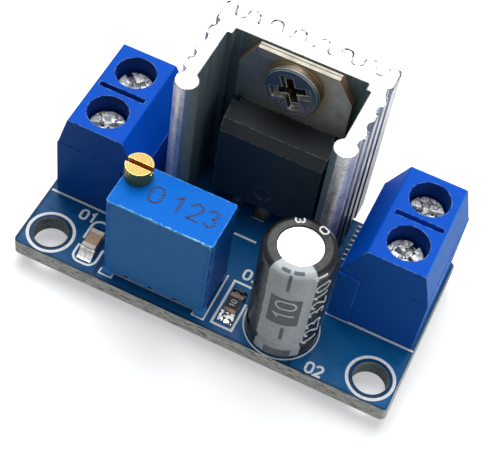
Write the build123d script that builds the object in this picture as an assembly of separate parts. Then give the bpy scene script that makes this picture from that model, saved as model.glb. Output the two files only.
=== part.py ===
from build123d import *
import os

# Adjustable linear regulator module, in millimetres.
# Each piece is drawn in the board's own frame: X runs along the board from the input
# terminals to the output terminals, Y to the back edge, and Z = 0 is the board's top face.
# place_in_row then moves the origin to the middle of the underside of the whole module.

# Board
board_thickness = 1.6
board_corner_r = 0.5
fixing_hole_r = 1.55
fixing_hole_end_inset = 2.44
fixing_hole_front_inset = 2.33
pin_tip_drop = 1.3
hole_clearance = 0.12

# Terminal blocks, one profile for both
pole_count = 2
pole_pitch = 5.08
block_depth_out = 3.45
block_depth_in = 4.4
block_height = 10.1
block_shoulder_height = 6.7
block_top_out = 2.5
block_top_in = 2.65
block_step = 0.05
block_corner_r = 0.2
well_r = 1.8
test_slot_width = 0.5
test_slot_length = 4.3
test_slot_depth = 1.4
head_seat_height = 7.4
seat_ledge_thickness = 0.5
entry_width = 3.6
entry_bottom = 0.7
entry_top = 3.9
entry_flare = 0.3
rail_root_width = 1.65
rail_face_width = 1.95
rail_out = 0.25
rail_height = 6.3
rail_fit = 0.05

# Rising clamp, contact and screw of one pole
clamp_length = 3.7
clamp_width = 3.9
clamp_wall = 0.5
clamp_top_wall = 0.9
clamp_gap_height = 3.05
clamp_rest_height = 0.35
clamp_side_clearance = 0.06
clamp_bend_r = 0.35
tongue_height = 3.0
tongue_thickness = 0.6
tongue_width = 2.0
tongue_reach = 1.5
contact_pin_offset = 2.6
contact_pin_width = 1.0
contact_fit = 0.04
terminal_head_r = 1.55
terminal_head_height = 1.0
terminal_shank_r = 1.25
terminal_shank_fit = 0.06
terminal_shank_tip_gap = 0.1
terminal_slot_width = 0.55
terminal_slot_depth = 0.5
terminal_cross_length = 1.9
terminal_screw_turns = (25.0, -40.0, 70.0, 10.0)

# Heatsink profile, an open channel with fins
heatsink_width = 15.8
channel_width = 12.8
channel_depth = 8.2
back_wall = 1.35
back_fin_length = 1.35
fin_pitch = 2.1
fin_width = 1.1
back_fin_count = 8
side_groove_depth = 0.4
side_groove_pitch = 2.04
side_groove_width = 0.95
side_groove_count = 4
side_groove_start = 1.9
fin_tip_r = 0.45
lip_r = 1.02
pocket_width = 11.9
pocket_depth = 0.75
heatsink_pin_r = 0.5
heatsink_pin_grip = 4.0

# Gaps between the parts along the board, from the input end
input_edge_gap = 0.6
input_block_gap = 1.25
output_block_gap = 1.65
output_edge_gap = 0.4

# Regulator package
package_width = 10.2
body_width = 10.0
body_height = 9.15
body_thickness = 4.4
body_draft = 4.0
body_bevel = 0.8
body_standoff = 1.8
tab_height = 6.55
tab_thickness = 0.95
tab_chamfer_width = 1.45
tab_chamfer_height = 2.3
tab_hole_r = 1.85
tab_hole_drop = 2.75
tab_neck = 5.0
tab_neck_width = 8.0
regulator_offset = 0.15
lead_pitch = 2.54
lead_plane = 2.65
lead_width = 0.8
lead_shoulder_width = 1.25
lead_thickness = 0.5
lead_shoulder_gap = 0.2
lead_bury = 3.05
ejector_mark_r = 0.75
ejector_mark_depth = 0.12
ejector_mark_drop = 7.0
body_notch_width = 0.6
body_notch_height = 1.1

# Regulator screw
screw_r = 1.5
screw_length = 3.6
screw_head_r = 2.55
screw_head_height = 0.85
screw_head_bevel = 0.15
screw_tip_chamfer = 0.3
screw_recess_width = 0.8
screw_recess_span = 2.7
screw_recess_depth = 1.3
screw_recess_draft = 12.0
screw_flare_width = 1.2
screw_flare_span = 3.7
screw_flare_depth = 0.3
screw_flare_draft = 35.0
screw_turn = 20.0
thread_fit = 0.02

# Trimmer
trimmer_length = 9.56
trimmer_width = 4.84
trimmer_top = 10.3
trimmer_foot_height = 1.0
trimmer_foot = 0.8
trimmer_cover_inset = 0.06
trimmer_cover_thickness = 0.6
trimmer_lip_side = 0.3
trimmer_lip_top = 0.22
trimmer_corner_r = 0.25
trimmer_pin_pitch = 2.54
trimmer_pin_count = 3
trimmer_pin_r = 0.28
trimmer_pin_bury = 1.5
trimmer_screw_r = 1.2
trimmer_screw_rise = 1.5
trimmer_screw_edge = 1.15
trimmer_screw_back = 1.3
trimmer_screw_slot = 0.45
trimmer_screw_slot_depth = 0.55
trimmer_screw_groove_count = 28
trimmer_screw_groove_r = 0.07
trimmer_screw_rim = 0.12
trimmer_screw_face = 0.02
trimmer_shaft_r = 0.8
trimmer_shaft_length = 5.0
trimmer_shaft_fit = 0.05
trimmer_front_gap = 0.86
trimmer_offset = -4.56

# Electrolytic capacitor
capacitor_r = 3.15
capacitor_height = 12.0
capacitor_shoulder_r = 0.7
sleeve_thickness = 0.12
sleeve_opening_r = 1.95
sleeve_foot = 0.25
can_foot = 0.15
bead_height = 1.75
bead_depth = 0.3
bead_half_height = 0.45
bung_r = 2.45
bung_height = 1.2
bung_foot = 0.05
capacitor_lead_pitch = 2.5
capacitor_lead_r = 0.25
capacitor_lead_bury = 0.8
capacitor_front_gap = 0.22

# Aisle between the trimmer and the heatsink, and the strip behind the heatsink's pocket
middle_aisle = 2.9
block_back_gap = 0.03
pocket_back_gap = 0.1

# Chip parts
chip_length = 2.0
chip_width = 1.25
chip_end = 0.4
chip_seat = 0.05
chip_skin = 0.03
capacitor_chip_height = 0.9
resistor_chip_height = 0.5
resistor_coat_thickness = 0.04
chip_pad_reach = 0.85
chip_pad_side = 0.05
chip_fillet_share = 0.85
chip_fillet_hollow = 0.36
chip_capacitor_gap = 2.07
chip_capacitor_front_gap = 2.95
chip_resistor_gap = 1.83
chip_resistor_front_gap = 3.15
capacitor_gap = 4.51

# Solder
joint_r = 0.95
joint_height = 0.85
joint_top_margin = 0.12
pad_thickness = 0.05
pad_margin = 0.15

# Lengths and places that follow from the values above
block_depth = block_depth_in + block_depth_out
block_length = pole_count * pole_pitch
heatsink_depth = channel_depth + back_wall + back_fin_length
board_length = (input_edge_gap + block_depth + input_block_gap + heatsink_width
                + output_block_gap + block_depth + output_edge_gap)
board_width = trimmer_front_gap + trimmer_width + middle_aisle + channel_depth + pocket_back_gap
board_left = -board_length / 2
board_right = board_length / 2
board_front = -board_width / 2
board_back = board_width / 2
pin_tip = -board_thickness - pin_tip_drop

input_x = board_left + input_edge_gap + block_depth_out
output_x = board_right - output_edge_gap - block_depth_out
block_y = board_back - block_back_gap - block_length / 2
pole_places = [(i - (pole_count - 1) / 2) * pole_pitch for i in range(pole_count)]
clamp_height = clamp_wall + clamp_gap_height + clamp_top_wall
chamber_top = head_seat_height - seat_ledge_thickness
chamber_length = clamp_length + 2 * clamp_side_clearance
chamber_width = clamp_width + 2 * clamp_side_clearance
shank_tip = tongue_height + tongue_thickness + terminal_shank_tip_gap
contact_back = contact_pin_offset + tongue_thickness / 2
input_end = Pos(input_x, block_y, 0) * Rot(0, 0, 180)
output_end = Pos(output_x, block_y, 0)

heatsink_x = board_left + input_edge_gap + block_depth + input_block_gap + heatsink_width / 2
wall_face = board_back - pocket_back_gap
heatsink_front = wall_face - channel_depth
heatsink_back = heatsink_front + heatsink_depth
lip_x = heatsink_width / 2 - lip_r
lip_y = heatsink_front + lip_r

regulator_x = heatsink_x + regulator_offset
tab_top = body_standoff + body_height + tab_height
heatsink_height = tab_top
body_top = body_standoff + body_height
tab_front = wall_face - tab_thickness
body_front = wall_face - body_thickness
lead_y = wall_face - lead_plane
screw_z = tab_top - tab_hole_drop
lead_places = [regulator_x - lead_pitch, regulator_x, regulator_x + lead_pitch]

trimmer_x = trimmer_offset
trimmer_y = board_front + trimmer_front_gap + trimmer_width / 2
trimmer_left = trimmer_x - trimmer_length / 2
trimmer_right = trimmer_x + trimmer_length / 2
trimmer_screw_x = trimmer_left + trimmer_screw_edge
trimmer_screw_y = trimmer_y + trimmer_width / 2 - trimmer_screw_back
trimmer_pin_places = [trimmer_x + (i - (trimmer_pin_count - 1) / 2) * trimmer_pin_pitch
                      for i in range(trimmer_pin_count)]

capacitor_x = trimmer_right + chip_resistor_gap + capacitor_gap
capacitor_y = board_front + capacitor_front_gap + capacitor_r
capacitor_lead_places = [capacitor_y - capacitor_lead_pitch / 2, capacitor_y + capacitor_lead_pitch / 2]
chip_capacitor_at = Pos(trimmer_left - chip_capacitor_gap, board_front + chip_capacitor_front_gap, chip_seat)
chip_resistor_at = Pos(trimmer_right + chip_resistor_gap, board_front + chip_resistor_front_gap, chip_seat)
fixing_hole_x = board_right - fixing_hole_end_inset
fixing_hole_y = board_front + fixing_hole_front_inset


def span(x, y, z):
    """A box between two corners, each axis given as (low, high)."""
    size = (x[1] - x[0], y[1] - y[0], z[1] - z[0])
    return Pos((x[0] + x[1]) / 2, (y[0] + y[1]) / 2, (z[0] + z[1]) / 2) * Box(*size)


def post(x, y, r, bottom, top):
    """An upright cylinder."""
    return Pos(x, y, (bottom + top) / 2) * Cylinder(r, top - bottom)


def side_profile(points, width):
    """A prism as wide as given along Y, from an outline in X and Z."""
    outline = make_face(Polyline(*points, close=True))
    return extrude(Plane.XZ * outline, width / 2, both=True)


def group(pieces):
    """Several separate solids as one node."""
    return Compound([solid for piece in pieces for solid in piece.solids()])


def terminal_pin_places():
    """Board positions of the terminal pins, two for each block."""
    places = [(output_x - contact_pin_offset, block_y + v) for v in pole_places]
    return places + [(input_x + contact_pin_offset, block_y - v) for v in pole_places]


def heatsink_pin_places():
    return [(heatsink_x - lip_x, lip_y), (heatsink_x + lip_x, lip_y)]


def pin_table():
    """Every pin through the board: its place and the radius that its hole has to clear."""
    terminal_r = (contact_pin_width ** 2 + tongue_thickness ** 2) ** 0.5 / 2
    lead_r = (lead_width ** 2 + lead_thickness ** 2) ** 0.5 / 2
    table = [(x, y, terminal_r) for x, y in terminal_pin_places()]
    table += [(x, y, heatsink_pin_r) for x, y in heatsink_pin_places()]
    table += [(x, lead_y, lead_r) for x in lead_places]
    table += [(x, trimmer_y, trimmer_pin_r) for x in trimmer_pin_places]
    table += [(capacitor_x, y, capacitor_lead_r) for y in capacitor_lead_places]
    return table


def circuit_board():
    plate = extrude(RectangleRounded(board_length, board_width, board_corner_r), -board_thickness)
    for x in (-fixing_hole_x, fixing_hole_x):
        plate -= post(x, fixing_hole_y, fixing_hole_r, -board_thickness, 0)
    for x, y, r in pin_table():
        plate -= post(x, y, r + hole_clearance, -board_thickness, 0)
    return plate


def solder_joints(pins):
    """A tinned ring with a cone of solder round each pin, under the board."""
    joints = []
    for x, y, r in pin_table():
        ring = post(x, y, joint_r + pad_margin, -board_thickness - pad_thickness, -board_thickness)
        cone = Pos(x, y, -board_thickness - joint_height / 2) * Rot(180, 0, 0) * Cone(
            joint_r, r + joint_top_margin, joint_height)
        joint = ring + cone
        for pin in pins:
            joint -= pin
        joints.append(joint)
    return group(joints)


def terminal_housing():
    """One two-pole housing, its screws' line on X = 0 and its wire entries towards +X."""
    lower = side_profile([(-block_depth_in, 0), (block_depth_out, 0),
                          (block_depth_out, block_shoulder_height),
                          (-block_depth_in, block_shoulder_height)], block_length)
    upper = side_profile([(-block_depth_in + block_step, block_shoulder_height),
                          (block_depth_out - block_step, block_shoulder_height),
                          (block_top_out, block_height), (-block_top_in, block_height)],
                         block_length - 2 * block_step)
    upper = fillet(upper.edges().filter_by(Axis.Y).group_by(Axis.Z)[-1], block_corner_r)
    housing = lower + upper
    housing -= span((-test_slot_length / 2, test_slot_length / 2),
                    (-test_slot_width / 2, test_slot_width / 2),
                    (block_height - test_slot_depth, block_height))
    housing += joining_rail(0)
    housing -= Pos(0, block_length, 0) * joining_rail(rail_fit)
    for v in pole_places:
        housing -= post(0, v, well_r, head_seat_height, block_height)
        housing -= post(0, v, terminal_shank_r + terminal_shank_fit, chamber_top, head_seat_height)
        housing -= chamber(v) + wire_entry(v)
    return housing


def joining_rail(fit):
    """The dovetail on one end that slides into the next block's groove, grown by the fit."""
    root = -block_length / 2 + fit
    face = -block_length / 2 - rail_out - fit
    outline = make_face(Polyline((-block_depth_in, root), (-block_depth_in, face),
                                 (-block_depth_in + rail_face_width + fit, face),
                                 (-block_depth_in + rail_root_width + fit, root), close=True))
    return extrude(outline, rail_height + fit)


def chamber(v):
    """The space in one pole for the clamp and, behind it, the contact's leg."""
    clamp_space = span((-chamber_length / 2, chamber_length / 2),
                       (v - chamber_width / 2, v + chamber_width / 2), (0, chamber_top))
    leg_space = span((-contact_back, 0),
                     (v - tongue_width / 2 - contact_fit, v + tongue_width / 2 + contact_fit),
                     (0, tongue_height + tongue_thickness))
    return clamp_space + leg_space


def wire_entry(v):
    """A flared opening in the outer wall for one wire."""
    opening = span((0, block_depth_out), (v - entry_width / 2, v + entry_width / 2),
                   (entry_bottom, entry_top))
    mouth = Plane.YZ.offset(block_depth_out) * Pos(v, (entry_bottom + entry_top) / 2) * Rectangle(
        entry_width + 2 * entry_flare, entry_top - entry_bottom + 2 * entry_flare)
    throat = Plane.YZ.offset(block_depth_out - entry_flare) * Pos(v, (entry_bottom + entry_top) / 2) * (
        Rectangle(entry_width, entry_top - entry_bottom))
    return opening + loft([throat, mouth])


def wire_clamp(v):
    """A bent square cage with a tapped top, at its lowest place."""
    low = clamp_rest_height
    cage = span((-clamp_length / 2, clamp_length / 2), (v - clamp_width / 2, v + clamp_width / 2),
                (low, low + clamp_height))
    cage = fillet(cage.edges().filter_by(Axis.X), clamp_bend_r)
    cage -= span((-clamp_length / 2, clamp_length / 2),
                 (v - clamp_width / 2 + clamp_wall, v + clamp_width / 2 - clamp_wall),
                 (low + clamp_wall, low + clamp_wall + clamp_gap_height))
    return cage - post(0, v, terminal_shank_r + terminal_shank_fit, low + clamp_wall, low + clamp_height)


def terminal_contact(v):
    """A tongue through the clamp, bent down to a leg and a solder pin."""
    top = tongue_height + tongue_thickness
    width = (v - tongue_width / 2, v + tongue_width / 2)
    strip = span((-contact_back, tongue_reach), width, (tongue_height, top))
    strip += span((-contact_back, -contact_back + tongue_thickness), width, (0, top))
    strip += span((-contact_back, -contact_back + tongue_thickness),
                  (v - contact_pin_width / 2, v + contact_pin_width / 2), (pin_tip, 0))
    return strip


def terminal_screw(v, turn):
    """A captive screw with a slot and a cross, its head on the ledge in the well."""
    head_top = head_seat_height + terminal_head_height
    slot_bottom = head_top - terminal_slot_depth
    head = post(0, 0, terminal_head_r, head_seat_height, head_top)
    head -= span((-terminal_head_r, terminal_head_r), (-terminal_slot_width / 2, terminal_slot_width / 2),
                 (slot_bottom, head_top))
    head -= span((-terminal_slot_width / 2, terminal_slot_width / 2),
                 (-terminal_cross_length / 2, terminal_cross_length / 2), (slot_bottom, head_top))
    screw = head + post(0, 0, terminal_shank_r, shank_tip, head_seat_height)
    return Pos(0, v, 0) * Rot(0, 0, turn) * screw


def back_fin_places():
    return [heatsink_x + (i - (back_fin_count - 1) / 2) * fin_pitch for i in range(back_fin_count)]


def heatsink():
    """The extruded channel: two finned walls with round lips, and a finned back."""
    half = heatsink_width / 2
    back = heatsink_back
    outline = Pos(heatsink_x, (lip_y + back) / 2) * Rectangle(heatsink_width, back - lip_y)
    for low, high in zip(back_fin_places()[:-1], back_fin_places()[1:]):
        outline -= back_groove((low + high) / 2)
    for side in (-1, 1):
        for i in range(side_groove_count):
            y = heatsink_front + side_groove_start + i * side_groove_pitch
            outline -= Pos(heatsink_x + side * half, y) * Ellipse(side_groove_depth, side_groove_width / 2)
    tips = outline.vertices().filter_by(lambda v: abs(v.Y - back) < 1e-4)
    outline = fillet(tips, fin_tip_r)
    for side in (-1, 1):
        outline += Pos(heatsink_x + side * lip_x, lip_y) * Circle(lip_r)
    outline -= Pos(heatsink_x, wall_face - channel_depth / 2 - pocket_depth / 2) * Rectangle(
        channel_width, channel_depth - pocket_depth)
    outline -= Pos(heatsink_x, wall_face - pocket_depth / 2) * Rectangle(pocket_width, pocket_depth)
    for side in (-1, 1):
        outline += Pos(heatsink_x + side * lip_x, lip_y) * Circle(lip_r)
    profile = extrude(outline, heatsink_height)
    screw_hole = Plane.XZ * Pos(regulator_x, screw_z) * Circle(screw_r + thread_fit)
    profile -= extrude(screw_hole, -board_width)
    for x, y in heatsink_pin_places():
        profile -= post(x, y, heatsink_pin_r, 0, heatsink_pin_grip)
    return profile


def back_groove(x):
    """A round-bottomed groove between two fins of the back."""
    width = fin_pitch - fin_width
    bottom = heatsink_back - back_fin_length
    centre = bottom + width / 2
    groove = Pos(x, (centre + heatsink_back) / 2) * Rectangle(width, heatsink_back - centre)
    return groove + Pos(x, centre) * Circle(width / 2)


def heatsink_pins():
    return group([post(x, y, heatsink_pin_r, pin_tip, heatsink_pin_grip) for x, y in heatsink_pin_places()])


def regulator_tab():
    """The metal tab with its middle lead, one stamped piece."""
    half = package_width / 2
    bottom = body_standoff + body_height - tab_neck
    corner = tab_top - tab_chamfer_height
    outline = make_face(Polyline((-half, body_top), (-half, corner), (-half + tab_chamfer_width, tab_top),
                                 (half - tab_chamfer_width, tab_top), (half, corner), (half, body_top),
                                 close=True))
    outline += Pos(0, (bottom + body_top) / 2) * Rectangle(tab_neck_width, body_top - bottom)
    outline -= Pos(0, screw_z) * Circle(tab_hole_r)
    tab = Pos(regulator_x, wall_face, 0) * extrude(Plane.XZ * outline, tab_thickness)
    bridge = span((regulator_x - lead_width / 2, regulator_x + lead_width / 2),
                  (lead_y - lead_thickness / 2, tab_front), (bottom, bottom + lead_shoulder_width))
    return tab + bridge + lead(regulator_x, bottom)


def lead(x, top):
    """A lead from inside the body to its tip, wide above the board and narrow through it."""
    depth = (lead_y - lead_thickness / 2, lead_y + lead_thickness / 2)
    wide = span((x - lead_shoulder_width / 2, x + lead_shoulder_width / 2), depth, (lead_shoulder_gap, top))
    return wide + span((x - lead_width / 2, x + lead_width / 2), depth, (pin_tip, lead_shoulder_gap))


def regulator_leads():
    top = body_standoff + lead_bury
    return group([lead(lead_places[0], top), lead(lead_places[2], top)])


def regulator_body(tab, leads):
    """The moulded body round the tab's neck, its front drafted and bevelled along the top."""
    middle = body_standoff + body_height / 2
    back_half = span((regulator_x - body_width / 2, regulator_x + body_width / 2),
                     (tab_front, wall_face), (body_standoff, body_top))
    front_face = Plane.XZ.offset(-tab_front) * Pos(regulator_x, middle) * Rectangle(body_width, body_height)
    body = back_half + extrude(front_face, body_thickness - tab_thickness, taper=body_draft)
    across = body.edges().filter_by(Axis.X)
    body = chamfer(across.group_by(Axis.Y)[0].sort_by(Axis.Z)[-1], body_bevel)
    for side in (-1, 1):
        body -= span(sorted((regulator_x + side * body_width / 2,
                             regulator_x + side * (body_width / 2 - body_notch_width))),
                     (tab_front - body_notch_width, wall_face), (body_top - body_notch_height, body_top))
    mark = Plane.XZ.offset(-body_front) * Pos(regulator_x, body_top - ejector_mark_drop) * Circle(ejector_mark_r)
    body -= extrude(mark, -ejector_mark_depth)
    return body - tab - leads


def cross_cut(reach, width, depth, draft):
    """A tapered cross, cut down from the top of the regulator screw's head."""
    cross = Rectangle(reach, width) + Rectangle(width, reach)
    return extrude(Plane.XY.offset(screw_head_height) * cross, -depth, taper=draft)


def regulator_screw():
    """A flat-headed cross-recess screw through the tab into the heatsink's tapped wall."""
    tip = -screw_length
    outline = make_face(Polyline(
        (0, screw_head_height), (0, tip), (screw_r - screw_tip_chamfer, tip), (screw_r, tip + screw_tip_chamfer),
        (screw_r, 0), (screw_head_r, 0), (screw_head_r, screw_head_height - screw_head_bevel),
        (screw_head_r - screw_head_bevel, screw_head_height), close=True))
    screw = revolve(Plane.XZ * outline, Axis.Z)
    screw -= cross_cut(screw_recess_span, screw_recess_width, screw_recess_depth, screw_recess_draft)
    screw -= cross_cut(screw_flare_span, screw_flare_width, screw_flare_depth, screw_flare_draft)
    return Pos(regulator_x, tab_front, screw_z) * Rot(90, 0, 0) * Rot(0, 0, screw_turn) * screw


def trimmer_case():
    """The blue box with four feet, a bore for the screw, and a lip round its front cover."""
    half_l = trimmer_length / 2
    half_w = trimmer_width / 2
    case = span((-half_l, half_l), (-half_w, half_w), (trimmer_foot_height, trimmer_top))
    case = fillet(case.edges().filter_by(Axis.Z), trimmer_corner_r)
    case -= trimmer_pocket(trimmer_cover_inset + trimmer_cover_thickness)
    for sx in (-1, 1):
        for sy in (-1, 1):
            corner = (sx * (half_l - trimmer_foot / 2), sy * (half_w - trimmer_foot / 2))
            case += Pos(*corner, trimmer_foot_height / 2) * Box(trimmer_foot, trimmer_foot, trimmer_foot_height)
    case = Pos(trimmer_x, trimmer_y, 0) * case
    case -= post(trimmer_screw_x, trimmer_screw_y, trimmer_shaft_r + trimmer_shaft_fit,
                 trimmer_top - trimmer_shaft_length - trimmer_shaft_fit, trimmer_top)
    for pin in trimmer_pin_solids():
        case -= pin
    return case


def trimmer_pocket(depth):
    """The recess in the trimmer's front, about the trimmer's own middle."""
    half_l = trimmer_length / 2
    front = -trimmer_width / 2
    return span((-half_l + trimmer_lip_side, half_l - trimmer_lip_side), (front, front + depth),
                (trimmer_foot_height, trimmer_top - trimmer_lip_top))


def trimmer_cover():
    """The dull plate that closes the front, set back inside the lip."""
    depth = trimmer_cover_inset + trimmer_cover_thickness
    plate = trimmer_pocket(depth) - trimmer_pocket(trimmer_cover_inset)
    return Pos(trimmer_x, trimmer_y, 0) * plate


def trimmer_pin_solids():
    top = trimmer_foot_height + trimmer_pin_bury
    return [post(x, trimmer_y, trimmer_pin_r, pin_tip, top) for x in trimmer_pin_places]


def trimmer_screw():
    """The brass adjusting screw: a slotted head, grooved round its side below a plain rim."""
    bottom = trimmer_screw_face
    head = post(0, 0, trimmer_screw_r, bottom, trimmer_screw_rise)
    for i in range(trimmer_screw_groove_count):
        head -= Rot(0, 0, i * 360 / trimmer_screw_groove_count) * post(
            trimmer_screw_r, 0, trimmer_screw_groove_r, bottom, trimmer_screw_rise - trimmer_screw_rim)
    head -= span((-trimmer_screw_r, trimmer_screw_r), (-trimmer_screw_slot / 2, trimmer_screw_slot / 2),
                 (trimmer_screw_rise - trimmer_screw_slot_depth, trimmer_screw_rise))
    screw = head + post(0, 0, trimmer_shaft_r, -trimmer_shaft_length, bottom)
    return Pos(trimmer_screw_x, trimmer_screw_y, trimmer_top) * screw


def can_profile(r, foot, top, shoulder_r):
    """Half the outline of the can or its sleeve, with the rolled bead near the foot."""
    low = bead_height - bead_half_height
    high = bead_height + bead_half_height
    return make_face([
        Polyline((0, top), (0, foot), (r, foot), (r, low)),
        ThreePointArc((r, low), (r - bead_depth, bead_height), (r, high)),
        Line((r, high), (r, top - shoulder_r)),
        RadiusArc((r, top - shoulder_r), (r - shoulder_r, top), -shoulder_r),
        Line((r - shoulder_r, top), (0, top))])


def capacitor_can():
    """The aluminium can, closed by its rubber bung."""
    inside = capacitor_r - sleeve_thickness
    can = revolve(Plane.XZ * can_profile(inside, can_foot, capacitor_height - sleeve_thickness,
                                         capacitor_shoulder_r - sleeve_thickness), Axis.Z)
    can -= post(0, 0, bung_r, 0, bung_foot + bung_height)
    for y in capacitor_lead_places:
        can -= post(0, y - capacitor_y, capacitor_lead_r, 0, bung_foot + bung_height + capacitor_lead_bury)
    return Pos(capacitor_x, capacitor_y, 0) * can


def capacitor_sleeve():
    """The shrunk sleeve, open over the middle of the top and under the foot."""
    outer = revolve(Plane.XZ * can_profile(capacitor_r, sleeve_foot, capacitor_height,
                                           capacitor_shoulder_r), Axis.Z)
    inner = revolve(Plane.XZ * can_profile(capacitor_r - sleeve_thickness, 0,
                                           capacitor_height - sleeve_thickness,
                                           capacitor_shoulder_r - sleeve_thickness), Axis.Z)
    sleeve = outer - inner - post(0, 0, sleeve_opening_r, capacitor_height / 2, capacitor_height)
    return Pos(capacitor_x, capacitor_y, 0) * sleeve


def capacitor_bung(leads):
    return post(capacitor_x, capacitor_y, bung_r, bung_foot, bung_foot + bung_height) - leads


def capacitor_leads():
    top = bung_foot + bung_height + capacitor_lead_bury
    return group([post(capacitor_x, y, capacitor_lead_r, pin_tip, top) for y in capacitor_lead_places])


def chip_body(height):
    """The ceramic of a chip part, lying along Y on its end caps."""
    half = chip_length / 2 - chip_skin
    width = chip_width / 2 - chip_skin
    return span((-width, width), (-half, half), (chip_skin, height - chip_skin))


def chip_ends(height, body):
    """The two plated ends, wrapped round the ceramic."""
    ends = []
    for side in (-1, 1):
        y = sorted((side * chip_length / 2, side * (chip_length / 2 - chip_end)))
        ends.append(span((-chip_width / 2, chip_width / 2), y, (0, height)) - body)
    return ends


def chip_fillets(height):
    """The solder against each end of a chip part, with a hollow face."""
    rise = height * chip_fillet_share
    near = chip_length / 2
    far = near + chip_pad_reach
    base = -chip_seat
    hollow = ThreePointArc((far, base + pad_thickness),
                           (near + chip_pad_reach * chip_fillet_hollow, rise * chip_fillet_hollow), (near, rise))
    outline = make_face([Polyline((near, rise), (near, base), (far, base), (far, base + pad_thickness)), hollow])
    wedge = extrude(Plane.YZ * outline, chip_width / 2 + chip_pad_side, both=True)
    under = span((-chip_width / 2, chip_width / 2), (near - chip_end, near), (base, 0))
    return [wedge + under, Rot(0, 0, 180) * (wedge + under)]


def resistor_coat():
    """The black coat on top of the chip resistor, between its ends."""
    half = chip_length / 2 - chip_end
    width = chip_width / 2 - chip_skin
    top = resistor_chip_height - chip_skin
    return span((-width, width), (-half, half), (top, top + resistor_coat_thickness))


def build_nodes():
    """Every node of the module in the board's frame."""
    nodes = {}
    nodes["circuit_board"] = circuit_board()
    turns = iter(terminal_screw_turns)
    contacts = {}
    for end, at in (("input", input_end), ("output", output_end)):
        nodes[f"{end}_terminal_housing"] = at * terminal_housing()
        contacts[end] = [at * terminal_contact(v) for v in pole_places]
        nodes[f"{end}_terminal_contacts"] = group(contacts[end])
        for pole, v in zip(("front", "back"), sorted(pole_places, reverse=end == "input")):
            nodes[f"{end}_{pole}_clamp"] = at * wire_clamp(v)
            nodes[f"{end}_{pole}_screw"] = at * terminal_screw(v, next(turns))

    nodes["heatsink"] = heatsink()
    nodes["heatsink_pins"] = heatsink_pins()
    nodes["regulator_tab"] = regulator_tab()
    nodes["regulator_leads"] = regulator_leads()
    nodes["regulator_body"] = regulator_body(nodes["regulator_tab"], nodes["regulator_leads"])
    nodes["regulator_screw"] = regulator_screw()

    nodes["trimmer_case"] = trimmer_case()
    nodes["trimmer_cover"] = trimmer_cover()
    nodes["trimmer_pins"] = group(trimmer_pin_solids())
    nodes["trimmer_screw"] = trimmer_screw()

    nodes["capacitor_can"] = capacitor_can()
    nodes["capacitor_sleeve"] = capacitor_sleeve()
    nodes["capacitor_leads"] = capacitor_leads()
    nodes["capacitor_bung"] = capacitor_bung(nodes["capacitor_leads"])

    for name, at, height in (("chip_capacitor", chip_capacitor_at, capacitor_chip_height),
                             ("chip_resistor", chip_resistor_at, resistor_chip_height)):
        body = chip_body(height)
        nodes[f"{name}_body"] = at * body
        nodes[f"{name}_ends"] = group([at * end for end in chip_ends(height, body)])
        nodes[f"{name}_solder"] = group([at * fillet_solid for fillet_solid in chip_fillets(height)])
    nodes["chip_resistor_coat"] = chip_resistor_at * resistor_coat()

    pins = contacts["input"] + contacts["output"] + trimmer_pin_solids()
    pins += [nodes[name] for name in ("heatsink_pins", "regulator_leads", "regulator_tab", "capacitor_leads")]
    nodes["solder_joints"] = solder_joints(pins)
    return nodes


def place_in_row(node):
    """Move a node so that the origin is the middle of the module's underside."""
    back_reach = max(heatsink_back, tab_front + screw_length)
    return Pos(0, -(board_front + back_reach) / 2, -pin_tip) * node


os.makedirs("parts", exist_ok=True)
for name, node in build_nodes().items():
    export_step(place_in_row(node), f"parts/{name}.step")
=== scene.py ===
import bpy
import math
from mathutils import Matrix, Vector


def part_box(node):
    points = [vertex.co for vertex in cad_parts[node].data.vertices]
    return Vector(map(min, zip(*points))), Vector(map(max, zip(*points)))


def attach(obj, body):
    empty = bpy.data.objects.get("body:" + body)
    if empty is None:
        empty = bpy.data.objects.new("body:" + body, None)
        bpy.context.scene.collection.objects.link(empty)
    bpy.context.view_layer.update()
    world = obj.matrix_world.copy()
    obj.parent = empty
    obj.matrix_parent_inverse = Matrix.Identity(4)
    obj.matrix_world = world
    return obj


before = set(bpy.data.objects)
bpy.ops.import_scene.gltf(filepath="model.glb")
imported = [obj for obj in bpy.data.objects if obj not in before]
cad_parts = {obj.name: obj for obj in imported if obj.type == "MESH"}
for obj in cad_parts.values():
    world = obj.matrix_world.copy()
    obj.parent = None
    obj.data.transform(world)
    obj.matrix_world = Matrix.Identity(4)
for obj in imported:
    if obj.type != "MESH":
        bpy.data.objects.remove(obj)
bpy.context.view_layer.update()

# Sizes here are in millimetres; MM turns them into the frame's metres.
MM = 0.001
MODULE = "module"

# Camera, at the photograph's viewing angle
camera_azimuth = 16.26
camera_elevation = 53.96
camera_roll = 10.72
camera_place = (20.09, -67.39, 100.79)
focal_pixels = 1359.3
image_width = 500
sensor_width = 36
camera_near = 5
camera_far = 5000

# Light
world_top = 0.24
world_low = 0.06
mirror_top = 1
mirror_low = 0.35
sky_start = -0.1
sky_end = 0.7
sky_colour = (0.97, 0.985, 1, 1)
key_power = 1.5
key_size = 340
key_place = (-60, 150, 360)
fill_power = 0.22
fill_size = 200
fill_place = (300, -50, 120)

# Floor, as it lights the module and as the camera sees it
floor_reach = 1200
floor_roughness = 0.9
floor_colour = (0.32, 0.32, 0.32, 1)
floor_seen_colour = (0.86, 0.865, 0.87, 1)
floor_glow = 0.42

# Print, and how finely its curves and mitres are cut
ink_height = 0.018
outline_width = 0.22
thin_width = 0.16
figure_width = 0.22
circle_steps = 96
sheet_steps = 12
line_step = 0.2
least_mitre = 0.35

# Fixing holes, from the board's middle: their bare walls, painted dark with shade, and the rings printed
# round them
fixing_hole_x = 15.26
fixing_hole_y = -6.12
hole_wall_r = 1.6
ring_outer = 2.18
ring_inner = 1.9

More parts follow.
